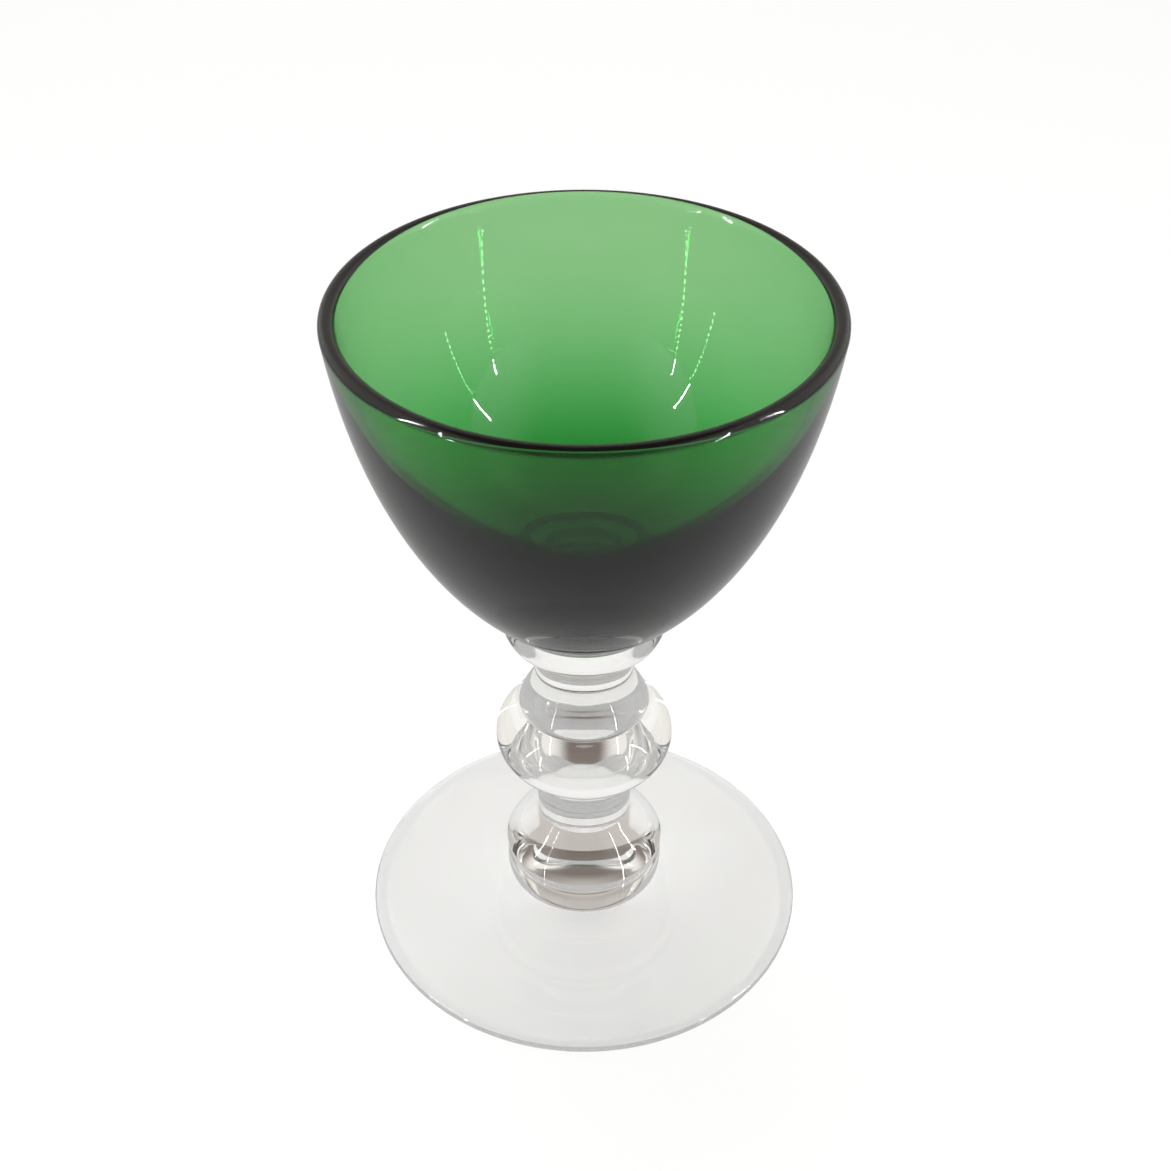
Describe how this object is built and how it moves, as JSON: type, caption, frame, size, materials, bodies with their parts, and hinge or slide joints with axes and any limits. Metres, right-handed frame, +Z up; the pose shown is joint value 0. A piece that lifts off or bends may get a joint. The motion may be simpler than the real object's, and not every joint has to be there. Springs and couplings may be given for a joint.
{
  "type": "cordial glass",
  "caption": "Small footed drinking glass: a green bowl with a heavy base on a clear stem of stacked knops and rings over a wide round foot.",
  "frame": {"origin": "middle of the foot's underside, on the level that the glass stands on", "axes": "+Z up the stem towards the lip; the glass is round about Z, so +X and +Y are free"},
  "size_m": [0.0562, 0.0562, 0.089],
  "materials": {
    "green_glass": "clear emerald green, polished, thin at the lip and nearly black where it is thick at the base",
    "clear_glass": "clear, polished, with a faint cool tint"
  },
  "bodies": {
    "root": {"foot": "clear_glass", "foot_wafer": "clear_glass", "bell_knop": "clear_glass", "lower_neck": "clear_glass", "ball_knop": "clear_glass", "shoulder_ring": "clear_glass", "upper_neck": "clear_glass", "bowl_collar": "clear_glass", "bowl": "green_glass"}
  },
  "joints": []
}
